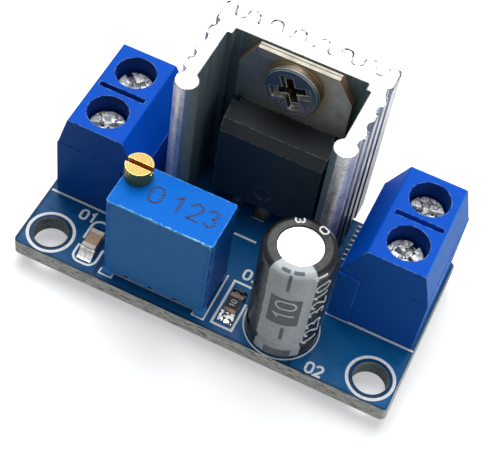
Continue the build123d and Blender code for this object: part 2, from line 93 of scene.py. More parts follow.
# Heatsink channel: half its width, its depth from the lips' front, and the lips' own depth
channel_half = 6.5
channel_depth = 8.35
lip_depth = 1.7
lip_fade = 0.5

# The tab's sheet, for the lines along its sawn top
tab_thickness = 0.95

# The regulator's screw: its cross, its head's flat and rim, and its shank
cross_r = 1.4
head_flat_r = 1.9
head_rim_r = 2.3
shank_r = 1.52
head_depth = 1.6

# The wells over the terminals' screws
well_r = 1.85

# The trimmer: the height of its front feet, its screw's slot, and the dashes of its figures
feet_height = 0.9
slot_r = 1.02
slot_depth = 0.5
dash_step = 0.26
dash_length = 0.3
dash_width = 0.13

# The can's top: the vent's ring, and the bright disc inside the gap's painted shadow
vent_r = 1.45
can_face_r = 1.86

# The sleeve: its shoulder, and its stripe in degrees round from +X
sleeve_shoulder_r = 0.7
stripe_start = -115
stripe_end = -39.5

# The strip of bare laminate that the score line leaves along the board's right edge
score_width = 0.16

# Copper under the mask
pour_inset = 0.24
pour_gap = 0.3
pour_gaps = (-9.9, 8.55)
pour_soft = 0.04


def corners(node):
    """The two corners of a node's box, in millimetres."""
    low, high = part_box(node)
    return Vector(low) / MM, Vector(high) / MM


def middle_of(node):
    return sum(corners(node), Vector()) / 2


board_low, board_high = corners("circuit_board")
board_mid = middle_of("circuit_board")
deck = board_high.z
sleeve_low, sleeve_high = corners("capacitor_sleeve")
sleeve_mid = middle_of("capacitor_sleeve")
sleeve_r = (sleeve_high.x - sleeve_low.x) / 2
trimmer_low, trimmer_high = corners("trimmer_case")
cover_low = corners("trimmer_cover")[0]
heatsink_low, heatsink_high = corners("heatsink")
screw_low = corners("regulator_screw")[0]
screw_mid = middle_of("regulator_screw")
tab_low, tab_high = corners("regulator_tab")

tinned_nodes = ("input_terminal_contacts", "output_terminal_contacts", "heatsink_pins", "regulator_leads",
                "trimmer_pins", "capacitor_leads")


def terminal_pieces(kind):
    """The nodes of one kind in the terminals, two a block."""
    return [f"{end}_{place}_{kind}" for end in ("input", "output") for place in ("front", "back")]


def linear(colour):
    """A colour as read from a screen, as the linear colour that shaders take."""
    shares = [value / 255 for value in colour]
    return (*[part / 12.92 if part <= 0.04045 else ((part + 0.055) / 1.055) ** 2.4 for part in shares], 1)


class Graph:
    """The node tree of a material or a world."""

    def __init__(self, owner):
        owner.use_nodes = True
        self.nodes = owner.node_tree.nodes
        self.links = owner.node_tree.links

    def feed(self, node, sockets):
        """Links or sets a node's inputs. A colour of three parts is as a screen shows it."""
        for name, value in sockets.items():
            socket = node.inputs[name]
            if isinstance(value, bpy.types.NodeSocket):
                self.links.new(value, socket)
            elif socket.type == "RGBA" and len(value) == 3:
                socket.default_value = linear(value)
            else:
                socket.default_value = value

    def node(self, kind, sockets, **settings):
        made = self.nodes.new("ShaderNode" + kind)
        for name, value in settings.items():
            setattr(made, name, value)
        self.feed(made, sockets)
        return made


class Look(Graph):
    """A material whose patterns are laid out in millimetres."""

    def __init__(self, name, colour, roughness, metallic=0, edge=0.06, specular=0.5):
        """The colour and roughness given here are the plain ones, under the patterns."""
        self.material = bpy.data.materials.new(name)
        super().__init__(self.material)
        coordinates = self.node("TexCoord", {})
        self.place = self.scaled(coordinates.outputs["Object"], (1 / MM,) * 3)
        self.geometry = self.node("NewGeometry", {})
        rounded = self.node("Bevel", {"Radius": edge * MM}, samples=6)
        self.normal = rounded.outputs["Normal"]
        self.shade({"Base Color": colour, "Roughness": roughness, "Metallic": metallic,
                    "Specular IOR Level": specular, "Normal": self.normal})

    def shade(self, sockets):
        """Feeds the shader's own inputs."""
        self.feed(self.nodes["Principled BSDF"], sockets)

    def scaled(self, vector, factors):
        return self.node("VectorMath", {0: vector, 1: factors}, operation="MULTIPLY").outputs[0]

    def maths(self, operation, first, second=0):
        return self.node("Math", {0: first, 1: second}, operation=operation).outputs[0]

    def times(self, first, second):
        return self.maths("MULTIPLY", first, second)

    def minus(self, first, second):
        return self.maths("SUBTRACT", first, second)

    def either(self, first, second):
        """The larger of two shares."""
        return self.maths("MAXIMUM", first, second)

    def axis(self, name, vector=None):
        """One coordinate in millimetres, or one part of another vector."""
        return self.node("SeparateXYZ", {0: vector or self.place}).outputs[name]

    def aside(self, name, centre):
        """Distance along one axis from a place on it, either way."""
        return self.maths("ABSOLUTE", self.minus(self.axis(name), centre))

    def facing(self, name):
        """How squarely the surface faces along one axis, either way."""
        return self.maths("ABSOLUTE", self.axis(name, self.geometry.outputs["True Normal"]))

    def noise(self, scale, detail=3, stretch=(1, 1, 1), roughness=0.55, distortion=0):
        made = self.node("TexNoise", {"Vector": self.scaled(self.place, stretch), "Scale": scale,
                                      "Detail": detail, "Roughness": roughness, "Distortion": distortion})
        return made.outputs["Fac"]

    def creases(self, scale, bend):
        """Distance to the nearest edge of a pattern of bent cells."""
        shift = self.node("TexNoise", {"Vector": self.place, "Scale": 1.6}).outputs["Color"]
        bends = self.scaled(shift, (bend,) * 3)
        moved = self.node("VectorMath", {0: self.place, 1: bends}, operation="ADD").outputs[0]
        cells = self.node("TexVoronoi", {"Vector": moved, "Scale": scale}, feature="DISTANCE_TO_EDGE")
        return cells.outputs["Distance"]

    # Edge masks: they carry wear, painted highlights and painted shade.
    def near_edges(self, radius, start=0.03, end=0.2):
        """1 along sharp edges, within that distance in millimetres."""
        rounded = self.node("Bevel", {"Radius": radius * MM}, samples=8).outputs["Normal"]
        lean = self.node("VectorMath", {0: rounded, 1: self.geometry.outputs["True Normal"]},
                         operation="DOT_PRODUCT")
        return self.band(self.minus(1, lean.outputs["Value"]), start, end)

    def broken_edges(self, radius, scale, share, start=0.04, end=0.14):
        """A broken line along sharp edges, as a share of 1 at its strongest."""
        broken = self.band(self.noise(scale, 6, roughness=0.7), 0.42, 0.56)
        return self.times(self.times(self.near_edges(radius, start, end), broken), share)

    def band(self, value, start, end, low=0, high=1):
        """Low before start and high after end, with a smooth step between."""
        made = self.node("MapRange", {"Value": value, "From Min": start, "From Max": end,
                                      "To Min": low, "To Max": high}, interpolation_type="SMOOTHSTEP")
        return made.outputs["Result"]

    def along(self, name, start, end, low=0, high=1):
        """The same step along one axis of the frame."""
        return self.band(self.axis(name), start, end, low, high)

    def until(self, value, start, end):
        """1 before start and 0 after end, with a smooth step between."""
        return self.band(value, start, end, 1, 0)

    def between(self, value, low, high, soft):
        """1 where value lies between low and high."""
        return self.times(self.band(value, low - soft, low + soft),
                          self.until(value, high - soft, high + soft))

    def patchy(self, pattern, low=0, high=1):
        """A noise pattern spread out between two values."""
        return self.band(pattern, 0.3, 0.7, low, high)

    def mix(self, share, first, second):
        """A colour between two; a colour mix node keeps its colours at inputs 6 and 7."""
        return self.node("Mix", {0: share, 6: first, 7: second}, data_type="RGBA").outputs[2]

    def distance(self, x=None, y=None, z=None):
        """Distance from a point, along the axes that are given."""
        total = 0
        for name, centre in (("X", x), ("Y", y), ("Z", z)):
            if centre is not None:
                offset = self.minus(self.axis(name), centre)
                total = self.maths("ADD", total, self.times(offset, offset))
        return self.maths("SQRT", total)

    def colour(self, share, first, second):
        """Colours the surface from the first to the second as share goes from 0 to 1."""
        self.paint = self.mix(share, first, second)
        self.shade({"Base Color": self.paint})

    def lay(self, share, colour):
        """Lays another colour over what is there."""
        self.colour(share, self.paint, colour)

    def rough(self, pattern, low, high, start=0.3, end=0.7):
        """Roughness that goes from low to high as the pattern goes from start to end."""
        self.shade({"Roughness": self.band(pattern, start, end, low, high)})

    def relief(self, height, depth, strength=1):
        """Bumps of that depth in millimetres, on top of what is there."""
        made = self.node("Bump", {"Strength": strength, "Distance": depth * MM, "Height": height,
                                  "Normal": self.normal})
        self.normal = made.outputs["Normal"]
        self.shade({"Normal": self.normal})


def board_look():
    """Blue solder mask over faint copper, with glass epoxy showing at the cut edges."""
    look = Look("solder_mask", (10, 66, 118), 0.3, edge=0.05, specular=0.14)
    inset_x = look.minus((board_high.x - board_low.x) / 2, look.aside("X", board_mid.x))
    inset_y = look.minus((board_high.y - board_low.y) / 2, look.aside("Y", board_mid.y))
    pour = look.between(look.maths("MINIMUM", inset_x, inset_y), pour_inset, board_high.x, pour_soft)
    for x in pour_gaps:
        gap = look.between(look.axis("X"), x - pour_gap / 2, x + pour_gap / 2, pour_soft)
        pour = look.times(pour, look.minus(1, gap))
    holes_y = board_mid.y + fixing_hole_y
    from_holes = [look.distance(x=x, y=holes_y) for x in (-fixing_hole_x, fixing_hole_x)]
    for near in from_holes:
        pour = look.times(pour, look.band(near, ring_inner - 0.03, ring_inner + 0.03))
    scuffed = look.band(look.noise(5, 7, roughness=0.8), 0.6, 0.72, 0, 0.22)
    along = look.along("X", board_low.x, board_high.x)
    cloud = look.times(look.maths("ADD", look.noise(0.12, 1), along), 0.6)
    over_copper = look.mix(cloud, (4, 72, 122), (8, 98, 158))
    bare = look.mix(cloud, (6, 50, 82), (7, 64, 104))
    mask = look.mix(scuffed, look.mix(pour, bare, over_copper), (110, 160, 190))
    plies = look.noise(2.3, 5, stretch=(0.36, 0.36, 5.2), roughness=0.75)
    look.colour(look.band(plies, 0.4, 0.51), (72, 80, 70), (255, 255, 248))
    chips = look.band(look.noise(7, 2, stretch=(1, 1, 1.6)), 0.62, 0.72)
    look.lay(chips, (240, 242, 236))
    # Painted shade: the holes' bare walls are coloured a dark bluish grey.
    for near in from_holes:
        wall = look.band(near, hole_wall_r, hole_wall_r + 0.1, 0.75, 0)
        look.lay(wall, (84, 98, 102))
    scored = look.along("X", board_high.x - score_width, board_high.x - score_width + 0.03)
    mask = look.mix(scored, mask, look.mix(chips, (168, 186, 184), (226, 234, 230)))
    flat = look.band(look.facing("Z"), 0.4, 0.6)
    look.lay(flat, mask)
    nicked = look.times(look.near_edges(0.07), look.band(look.noise(1.2, 5), 0.4, 0.55))
    look.lay(nicked, (206, 218, 216))
    look.rough(look.times(flat, look.noise(0.8, 2)), 0.75, 0.24, 0, 0.75)
    look.relief(pour, 0.03, 0.7)
    look.relief(look.noise(0.6, 2), 0.03, 0.3)
    return look


def ink_look():
    """White print, a little chalky, with the mask just showing through."""
    look = Look("white_print", (228, 236, 242), 0.6, edge=0.01, specular=0.2)
    thin = look.band(look.noise(5, 5), 0.3, 0.62)
    look.colour(thin, (228, 236, 242), (255, 255, 255))
    look.relief(look.noise(9), 0.01, 0.5)
    return look


def dark_ink_look(name, colour):
    """Dull print laid on plastic."""
    look = Look(name, colour, 0.6, edge=0.01)
    faded = (*[min(1, part * 1.5 + 0.004) for part in linear(colour)[:3]], 1)
    look.colour(look.patchy(look.noise(7, 4)), colour, faded)
    return look


def solder_look(name="solder", dark=(168, 166, 160), soft=0.2):
    """Bright solder with faint grain, in darker and brighter patches."""
    look = Look(name, (214, 216, 218), 0.2, metallic=1, edge=0.04)
    grain = look.noise(3, 5)
    look.colour(look.band(grain, 0.5 - soft, 0.5 + soft), dark, (234, 235, 236))
    look.rough(grain, 0.34, 0.12, 0.25, 0.75)
    look.relief(look.noise(1.4, 2, distortion=0.4), 0.06, 0.4)
    return look


def tin_look(name="tin_plate", dark=(170, 168, 160), bright=(218, 217, 213)):
    """Dull tin plate with fine drawing marks."""
    look = Look(name, bright, 0.34, metallic=1)
    streak = look.noise(7, 3, stretch=(1, 1, 0.12))
    look.colour(look.noise(1.1), dark, bright)
    look.rough(streak, 0.42, 0.24)
    look.relief(streak, 0.012, 0.6)
    return look


def terminal_plastic_look():
    """Royal blue moulded plastic, satin, with pale broken lines on its edges, painted shade on its ends
    and in its wells, and painted light on its outer slopes.
    """
    look = Look("terminal_plastic", (2, 86, 208), 0.42, edge=0.09, specular=0.06)
    look.colour(look.noise(0.3, 2), (0, 82, 200), (3, 92, 216))
    # Painted shade: the faces that look along Y are a darker blue, lighter towards the right end.
    ends = look.band(look.facing("Y"), 0.5, 0.9)
    along = look.along("X", board_low.x + 8, board_high.x - 8)
    end_shade = look.mix(look.noise(0.4, 3), (18, 84, 166), (22, 94, 184))
    end_shade = look.mix(along, end_shade, (32, 106, 206))
    look.lay(ends, end_shade)
    # Painted light: the slopes that look along X near the right end are a paler blue.
    by_end = look.along("X", board_high.x - 2.4, board_high.x - 2)
    lit_outer_slope = look.times(by_end, look.band(look.facing("X"), 0.2, 0.4, 0, 0.6))
    look.lay(lit_outer_slope, (76, 148, 240))
    grain = look.noise(3.4, 8, roughness=0.75)
    look.lay(look.band(grain, 0.66, 0.76, 0, 0.25), (84, 136, 220))
    # Painted shade: the insides of the wells over the screws are a dark blue.
    below_top = look.along("Z", trimmer_high.z - 0.3, trimmer_high.z - 0.1, 0.75, 0)
    for screw in terminal_pieces("screw"):
        middle = middle_of(screw)
        near = look.distance(x=middle.x, y=middle.y)
        inside = look.times(look.until(near, well_r - 0.03, well_r + 0.03), below_top)
        look.lay(inside, (4, 44, 120))
    upper = look.along("Z", trimmer_high.z - 1.2, trimmer_high.z - 0.8, 0.3, 0.85)
    look.lay(look.broken_edges(0.2, 2, upper), (140, 184, 240))
    look.rough(look.noise(2.6, 5), 0.36, 0.5)
    look.relief(look.noise(6, 4), 0.01, 0.5)
    look.relief(look.noise(0.35, 1), 0.1, 0.3)
    return look


def plated_steel_look():
    """Bright plate over stamped, torn metal, with painted shade in its creases: the screws and clamps of
    the terminals.
    """
    look = Look("bright_plate", (240, 241, 242), 0.34, metallic=0.5, edge=0.05)
    folds = look.creases(0.8, 1)
    nicks = look.creases(1.9, 0.8)
    # Painted shade: dark lines along the folds stand in for shade in the creases.
    lines = look.times(look.band(folds, 0.01, 0.055), look.band(nicks, 0, 0.05, 0.45, 1))
    swell = look.noise(0.8, 2, distortion=0.8)
    bright = look.mix(look.band(swell, 0.35, 0.65), (206, 208, 210), (255, 255, 255))
    look.colour(lines, (34, 36, 42), bright)
    look.rough(look.noise(5), 0.26, 0.44)
    look.relief(lines, 0.07, 0.6)
    look.relief(swell, 0.14, 0.5)
    return look


def heatsink_look():
    """Bare extrusion: die lines up the walls, sawn ends with broken lines of painted shade along their
    edges, painted shade towards the board, and a dull channel painted a dark blue-green for its shade.
    """
    look = Look("bare_aluminium", (232, 233, 235), 0.4, edge=0.08)
    sawn = look.band(look.facing("Z"), 0.6, 0.8)
    lines = look.noise(4, 3, stretch=(1, 1, 0.02))
    stains = look.noise(0.8, 7, roughness=0.72)
    specks = look.noise(3, 5, roughness=0.72)
    middle = (heatsink_low.x + heatsink_high.x) / 2
    aside = look.aside("X", middle)
    depth = look.minus(look.axis("Y"), heatsink_low.y)
    height = look.minus(look.axis("Z"), heatsink_low.z)
    lips = look.until(depth, lip_depth, lip_depth + lip_fade)
    look.colour(look.band(lines, 0.36, 0.62), (140, 146, 156), (232, 233, 235))
    # Painted shade: the walls darken towards the board.
    look.lay(look.band(height, 0, 14, 0.85, 0), (62, 70, 82))
    look.lay(lips, look.mix(look.band(stains, 0.35, 0.65), (206, 206, 204), (252, 252, 250)))
    look.lay(look.band(stains, 0.5, 0.66, 0, 0.5), (136, 140, 146))
    look.lay(look.band(specks, 0.58, 0.68, 0, 0.7), (100, 104, 110))
    # Painted shade: the low part of the right wall is darker still.
    right_side = look.along("X", middle + channel_half - 1, middle + channel_half)
    look.lay(look.times(right_side, look.band(height, 4, 13, 0.5, 0)), (62, 66, 74))
    pitted = look.band(look.noise(4.5, 6, roughness=0.8), 0.54, 0.62, 0, 0.7)
    look.lay(look.times(pitted, lips), (112, 106, 96))
    # Painted shade: the channel is coloured a dark blue-green; it is also made less metallic.
    channel = look.times(look.until(aside, channel_half, channel_half + 0.1),
                         look.until(depth, channel_depth, channel_depth + 0.1))
    look.lay(look.times(channel, 0.85), (92, 116, 118))
    bare_metal = look.minus(0.7, look.times(lips, 0.06))
    look.shade({"Metallic": look.minus(bare_metal, look.times(channel, 0.45))})
    # Painted shade: broken dark lines along the edges of the sawn tops.
    outside = look.either(look.band(depth, channel_depth + 0.7, channel_depth + 0.9),
                          look.band(aside, channel_half + 0.75, channel_half + 0.95))
    outside = look.times(outside, look.minus(1, lips))
    crisp = look.times(look.near_edges(0.34, 0.03, 0.14), look.minus(1, outside))
    edge_shade_line = look.either(crisp, look.broken_edges(0.56, 1.1, outside, 0.012, 0.05))
    look.lay(sawn, look.mix(edge_shade_line, (249, 250, 251), (26, 28, 32)))
    look.rough(stains, 0.3, 0.52)
    look.relief(lines, 0.04, 0.5)
    saw_marks = look.noise(5, 2, stretch=(1, 0.05, 0.05))
    look.relief(look.times(saw_marks, sawn), 0.03, 0.5)
    look.relief(specks, 0.02, 0.4)
    return look


def tab_look():
    """Dull tinned copper, browned round the screw, bare at its sheared edges and lined along its top."""
    look = Look("tinned_tab", (150, 151, 154), 0.42, metallic=0.75, edge=0.05)
    cloud = look.noise(0.8, 6, roughness=0.65)
    across = look.along("X", tab_low.x, tab_high.x)
    look.colour(across, (156, 166, 160), (200, 198, 186))
    look.lay(look.band(cloud, 0.4, 0.66, 0, 0.35), (116, 116, 120))
    scuffs = look.band(look.noise(3.4, 7, stretch=(0.6, 1, 1.6), roughness=0.8), 0.56, 0.62)
    corner = look.times(look.along("X", tab_low.x + 1, tab_low.x + 4, 1, 0.15),
                        look.along("Z", tab_high.z - 2.8, tab_high.z - 1.2))
    look.lay(look.times(scuffs, corner), (48, 48, 50))
    near_screw = look.band(look.distance(x=screw_mid.x, z=screw_mid.z), 2.7, 3.9, 0.75, 0)
    warm = look.either(near_screw, look.along("Z", tab_high.z - 1.3, tab_high.z - 0.1, 0, 0.45))
    look.lay(warm, (176, 150, 110))
    sheared = look.until(look.facing("Y"), 0.4, 0.6)
    look.lay(sheared, (158, 128, 108))
    share = look.along("Y", tab_high.y - tab_thickness, tab_high.y)
    grain = look.noise(2, 4, stretch=(0.3, 1, 1))
    top = look.mix(grain, (134, 130, 118), (166, 162, 150))
    top = look.mix(look.between(share, 0.36, 0.52, 0.04), top, (60, 58, 52))
    top = look.mix(look.band(share, 0.8, 0.86), top, (20, 20, 20))
    look.lay(look.band(look.facing("Z"), 0.8, 0.95), top)
    look.rough(cloud, 0.32, 0.52)
    look.relief(look.noise(4, 3, stretch=(0.12, 1, 1)), 0.03, 0.5)
    return look


def epoxy_look():
    """Black moulding compound with a fine sparkle of filler."""
    look = Look("moulding_compound", (42, 54, 62), 0.55, edge=0.08, specular=0.35)
    look.colour(look.noise(0.7, 4), (42, 58, 66), (54, 72, 80))
    # Painted shade: faces that look up are darker than the sides, whose paler colour stands in for their
    # sheen.
    look.lay(look.band(look.facing("Z"), 0.4, 0.7), (26, 33, 38))
    look.lay(look.broken_edges(0.24, 2.4, 0.8, 0.015, 0.05), (118, 130, 138))
    look.rough(look.noise(9, 3), 0.44, 0.64)
    look.relief(look.noise(11, 4), 0.02, 0.6)
    return look


def chrome_look():
    """Polished plate on the regulator's screw, with painted reflections, highlights and shade, dirty in
    the bottom of its cross.
    """
    look = Look("screw_chrome", (120, 124, 122), 0.36, metallic=0.5, edge=0.06)
    depth = look.minus(look.axis("Y"), screw_low.y)
    radius = look.distance(x=screw_mid.x, z=screw_mid.z)
    pit = look.times(look.between(depth, 0.6, head_depth, 0.2), look.until(radius, cross_r, cross_r + 0.1))
    # Painted reflection: darker teal above, brighter grain below.
    look.colour(look.noise(0.6, 3), (66, 88, 96), (104, 124, 130))
    grain = look.band(look.noise(7, 4), 0.4, 0.6)
    lower = look.until(look.axis("Z"), screw_mid.z - 1.3, screw_mid.z + 0.4)
    look.lay(lower, look.mix(grain, (96, 98, 98), (168, 166, 160)))
    # The head's rim is brown: a burr, with painted shade.
    rim = look.times(look.until(look.facing("Y"), 0.2, 0.5),
                     look.band(radius, head_rim_r, head_rim_r + 0.1))
    look.lay(rim, (104, 92, 74))
    # Painted highlight: bright lines along the flared edges of the cross.
    rim_share = look.band(radius, head_rim_r, head_rim_r + 0.1, 1, 0.75)
    flare_highlight = look.times(look.near_edges(0.2, 0.02, 0.08), rim_share)
    look.lay(flare_highlight, (255, 253, 240))
    # Painted shade: darker streaks on the walls of the cross.
    sides = look.times(look.until(look.facing("Y"), 0.8, 0.95),
                       look.until(radius, head_flat_r, head_flat_r + 0.1))
    streaks = look.band(look.noise(1.8, 4), 0.36, 0.54, 0.2, 1)
    look.lay(look.times(sides, streaks), (74, 66, 52))
    look.lay(pit, (96, 74, 56))
    look.rough(look.noise(3.5, 4), 0.3, 0.46, 0.3, 0.75)
    turns = look.node("TexWave", {"Vector": look.place, "Scale": 0.62}, wave_type="BANDS",
                      bands_direction="Y")
    shank = look.times(look.until(radius, shank_r, shank_r + 0.04),
                       look.band(depth, head_depth, head_depth + 0.1))
    look.relief(look.times(turns.outputs["Fac"], shank), 0.25, 1)
    look.relief(look.noise(0.7, 1, distortion=0.4), 0.03, 0.3)
    return look


def trimmer_case_look():
    """Azure moulded plastic; the resin at its front leaves a pale broken line along the top edge."""
    look = Look("trimmer_plastic", (2, 112, 228), 0.4, edge=0.06, specular=0.06)
    look.colour(look.noise(0.4, 3), (0, 110, 220), (2, 124, 236))
    # Painted shade: the sides that look along X are darker.
    flank = look.band(look.facing("X"), 0.5, 0.9)
    look.lay(look.times(flank, 0.6), (30, 92, 160))
    by_front = look.until(look.axis("Y"), trimmer_low.y + 0.3, trimmer_low.y + 1.3)
    smears = look.band(look.noise(1.3, 7, roughness=0.75), 0.52, 0.62, 0, 0.6)
    smears = look.times(look.times(smears, flank), by_front)
    look.lay(smears, (170, 186, 212))
    look.lay(look.broken_edges(0.24, 1.8, 0.9), (120, 196, 255))
    front = look.until(look.axis("Y"), trimmer_low.y + 0.02, trimmer_low.y + 0.06)
    bare_side = look.along("X", trimmer_low.x + 0.25, trimmer_low.x + 0.4)
    top = trimmer_high.z
    wander = look.noise(1.8, 5)
    ragged = look.maths("ADD", look.axis("Z"), look.patchy(wander, -0.16, 0.16))
    inwards = look.maths("ADD", look.axis("Y"), look.patchy(wander, -0.08, 0.08))
    down_front = look.times(look.between(ragged, top - 0.34, top - 0.12, 0.03), front)
    over_edge = look.times(look.until(inwards, trimmer_low.y + 0.08, trimmer_low.y + 0.14),
                           look.along("Z", top - 0.12, top - 0.06))
    broken = look.band(look.noise(2.6, 6, roughness=0.7), 0.44, 0.52)
    rightwards = look.along("X", trimmer_low.x + 2, trimmer_high.x - 2, 0.35, 1)
    run_line = look.times(look.times(look.either(down_front, over_edge), broken), rightwards)
    # Painted highlight: a bright azure band along the top of the front face stands in for the lit lip.
    look.lay(look.times(look.band(ragged, top - 0.3, top - 0.2), front), (60, 176, 255))
    feet_top = deck + feet_height
    resin = look.times(look.times(front, bare_side), look.times(
        look.until(ragged, top - 0.24, top - 0.16), look.along("Z", feet_top - 0.2, feet_top)))
    # Painted light: the feet, which sit in shade, are coloured a lighter azure.
    feet = look.until(look.axis("Z"), feet_top, feet_top + 0.1)
    look.lay(feet, look.mix(look.noise(3), (44, 150, 250), (90, 180, 255)))
    look.lay(resin, (68, 144, 214))
    look.lay(run_line, (172, 222, 255))
    look.rough(look.noise(4, 5), 0.34, 0.5)
    look.relief(look.noise(7, 5), 0.012, 0.6)
    return look


def resin_look():
    """Dull resin that fills the trimmer's front."""
    look = Look("sealing_resin", (56, 136, 212), 0.6, edge=0.05, specular=0.12)
    cloud = look.noise(0.8, 5, roughness=0.62)
    look.colour(look.patchy(cloud), (68, 142, 214), (71, 146, 219))
    bubbles = look.band(look.noise(4, 3), 0.7, 0.76, 0, 0.4)
    specks = look.band(look.noise(8, 6, roughness=0.8), 0.6, 0.7, 0, 0.35)
    look.lay(specks, (130, 176, 232))
    look.lay(bubbles, (150, 196, 236))
    look.rough(cloud, 0.64, 0.56)
    look.relief(look.noise(14, 4), 0.012, 0.5)
    return look


def brass_look():
    """Turned brass, with rings on its face and oxide in its slot."""
    look = Look("turned_brass", (196, 160, 88), 0.34, metallic=0.9, edge=0.05)
    middle = middle_of("trimmer_screw")
    radius = look.distance(x=middle.x, y=middle.y)
    floor_z = corners("trimmer_screw")[1].z - slot_depth
    slot = look.times(look.until(look.axis("Z"), floor_z, floor_z + 0.15),
                      look.until(radius, slot_r, slot_r + 0.1))
    rings = look.times(look.maths("SINE", look.times(radius, 30)), 0.6)
    flat = look.band(look.facing("Z"), 0.6, 0.8)
    turned = look.times(rings, flat)
    look.colour(look.band(turned, -0.6, 0.9), (134, 108, 60), (168, 142, 86))
    look.lay(look.band(look.noise(2.4, 4), 0.4, 0.7, 0, 0.4), (150, 120, 66))
    side = look.until(look.facing("Z"), 0.3, 0.6)
    look.lay(side, (170, 150, 84))
    look.lay(look.times(look.near_edges(0.16, 0.04, 0.14), flat), (230, 208, 140))
    look.lay(slot, (168, 84, 40))
    look.rough(look.noise(6), 0.24, 0.4)
    look.relief(turned, 0.012, 0.7)
    return look


def can_look():
    """Drawn aluminium with spun rings and a lightly scored vent cross on its top."""
    look = Look("can_aluminium", (240, 241, 242), 0.34, metallic=0.9, edge=0.05)
    radius = look.distance(x=sleeve_mid.x, y=sleeve_mid.y)
    cross = look.maths("MINIMUM", look.aside("X", sleeve_mid.x), look.aside("Y", sleeve_mid.y))
    score = look.either(look.band(cross, 0.03, 0.12), look.band(radius, vent_r, vent_r + 0.1))
    look.colour(look.noise(1.2, 5), (234, 236, 238), (252, 252, 252))
    look.lay(look.times(look.minus(1, score), 0.3), (206, 208, 212))
    # Painted shadow: a dark ring in the gap between the sleeve and the can's face.
    look.lay(look.band(radius, can_face_r, can_face_r + 0.03), (24, 26, 28))
    look.rough(look.noise(3, 4), 0.3, 0.44)
    look.relief(look.maths("SINE", look.times(radius, 50)), 0.006, 0.5)
    look.relief(score, 0.03, 0.3)
    return look


def sleeve_look():
    """A dark shrunk sleeve with the pale stripe that marks the negative side."""
    look = Look("shrunk_sleeve", (34, 40, 44), 0.28, edge=0.05, specular=0.3)
    angle = look.maths("ARCTAN2", look.minus(look.axis("Y"), sleeve_mid.y),
                       look.minus(look.axis("X"), sleeve_mid.x))
    wavy = look.maths("ADD", angle, look.patchy(look.noise(0.5, 2), -0.02, 0.02))
    stripe = look.between(wavy, math.radians(stripe_start), math.radians(stripe_end), 0.012)
    cloud = look.noise(1.6, 5)
    look.colour(cloud, (26, 33, 38), (46, 54, 60))
    # Painted shade: faces that look up, over the shoulder, are near black.
    look.lay(look.band(look.facing("Z"), 0.3, 0.7, 0, 0.9), (9, 10, 11))
    look.lay(stripe, look.mix(cloud, (178, 187, 193), (212, 219, 223)))
    look.rough(look.noise(2.5, 5), 0.2, 0.38)
    look.relief(look.noise(1, 3, stretch=(1, 1, 0.35)), 0.08, 0.5)
    return look


def rubber_look():
    """Dull black rubber."""
    look = Look("bung_rubber", (44, 44, 44), 0.7)
    look.colour(look.noise(3, 5), (34, 34, 34), (58, 58, 57))
    look.relief(look.noise(6, 4), 0.02, 0.6)
    return look


def ceramic_look(name, first, second):
    """Fired ceramic with a fine tooth."""
    look = Look(name, first, 0.42, edge=0.03)
    look.colour(look.noise(2.6, 6), first, second)
    look.rough(look.noise(5), 0.34, 0.52)
    look.relief(look.noise(9, 4), 0.01, 0.6)
    return look


def glaze_look():
    """The black coat of the chip resistor."""
    look = Look("black_glaze", (26, 27, 30), 0.45, edge=0.02, specular=0.2)
    look.colour(look.noise(3, 4), (26, 24, 24), (48, 42, 40))
    look.relief(look.noise(2.5, 3), 0.02, 0.5)
    return look


def floor_look():
    """A pale floor that the camera sees near white, with the shadows kept."""
    material = bpy.data.materials.new("pale_floor")
    graph = Graph(material)
    plain = graph.nodes["Principled BSDF"]
    graph.feed(plain, {"Base Color": floor_colour, "Roughness": floor_roughness})
    seen = graph.node("BsdfPrincipled", {"Base Color": floor_seen_colour, "Roughness": floor_roughness,
                                         "Emission Color": (1, 1, 1, 1), "Emission Strength": floor_glow})
    path = graph.node("LightPath", {}).outputs
    either = graph.node("Math", {0: path["Is Camera Ray"], 1: path["Is Glossy Ray"]}, operation="MAXIMUM")
    blend = graph.node("MixShader", {0: either.outputs[0], 1: plain.outputs[0], 2: seen.outputs[0]})
    graph.feed(graph.nodes["Material Output"], {"Surface": blend.outputs[0]})
    return material


def dress_nodes():
    """Gives every CAD node its finish."""
    tin = tin_look()
    solder = solder_look()
    plastic = terminal_plastic_look()
    plate = plated_steel_look()
    resin = resin_look()
    finishes = {
        "circuit_board": board_look(),
        "input_terminal_housing": plastic,
        "output_terminal_housing": plastic,
        "heatsink": heatsink_look(),
        "regulator_tab": tab_look(),
        "regulator_body": epoxy_look(),
        "regulator_screw": chrome_look(),
        "trimmer_case": trimmer_case_look(),
        "trimmer_cover": resin,
        "trimmer_screw": brass_look(),
        "capacitor_can": can_look(),
        "capacitor_sleeve": sleeve_look(),
        "capacitor_bung": rubber_look(),
        "chip_capacitor_body": ceramic_look("tan_ceramic", (176, 142, 108), (196, 164, 130)),
        "chip_resistor_body": ceramic_look("white_ceramic", (226, 226, 220), (240, 240, 236)),
        "chip_resistor_coat": glaze_look(),
        "chip_capacitor_ends": ceramic_look("creamy_end_cap", (206, 196, 178), (238, 232, 220)),
        # The chip resistor's ends and solder are coloured dark brown.
        "chip_resistor_ends": tin_look("dark_brown_tin", (30, 24, 22), (96, 84, 76)),
        "chip_resistor_solder": solder_look("dark_brown_solder", (44, 36, 32), 0.05),
        "chip_capacitor_solder": solder,
        "solder_joints": solder,
    }
    finishes.update(dict.fromkeys(terminal_pieces("clamp") + terminal_pieces("screw"), plate))
    finishes.update(dict.fromkeys(tinned_nodes, tin))
    for node, look in finishes.items():
        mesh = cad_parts[node].data
        mesh.materials.clear()
        mesh.materials.append(look.material)
    resin_edge(resin)


def add_object(name, data):
    """A new object in the scene."""
    made = bpy.data.objects.new(name, data)
    bpy.context.scene.collection.objects.link(made)
    return made


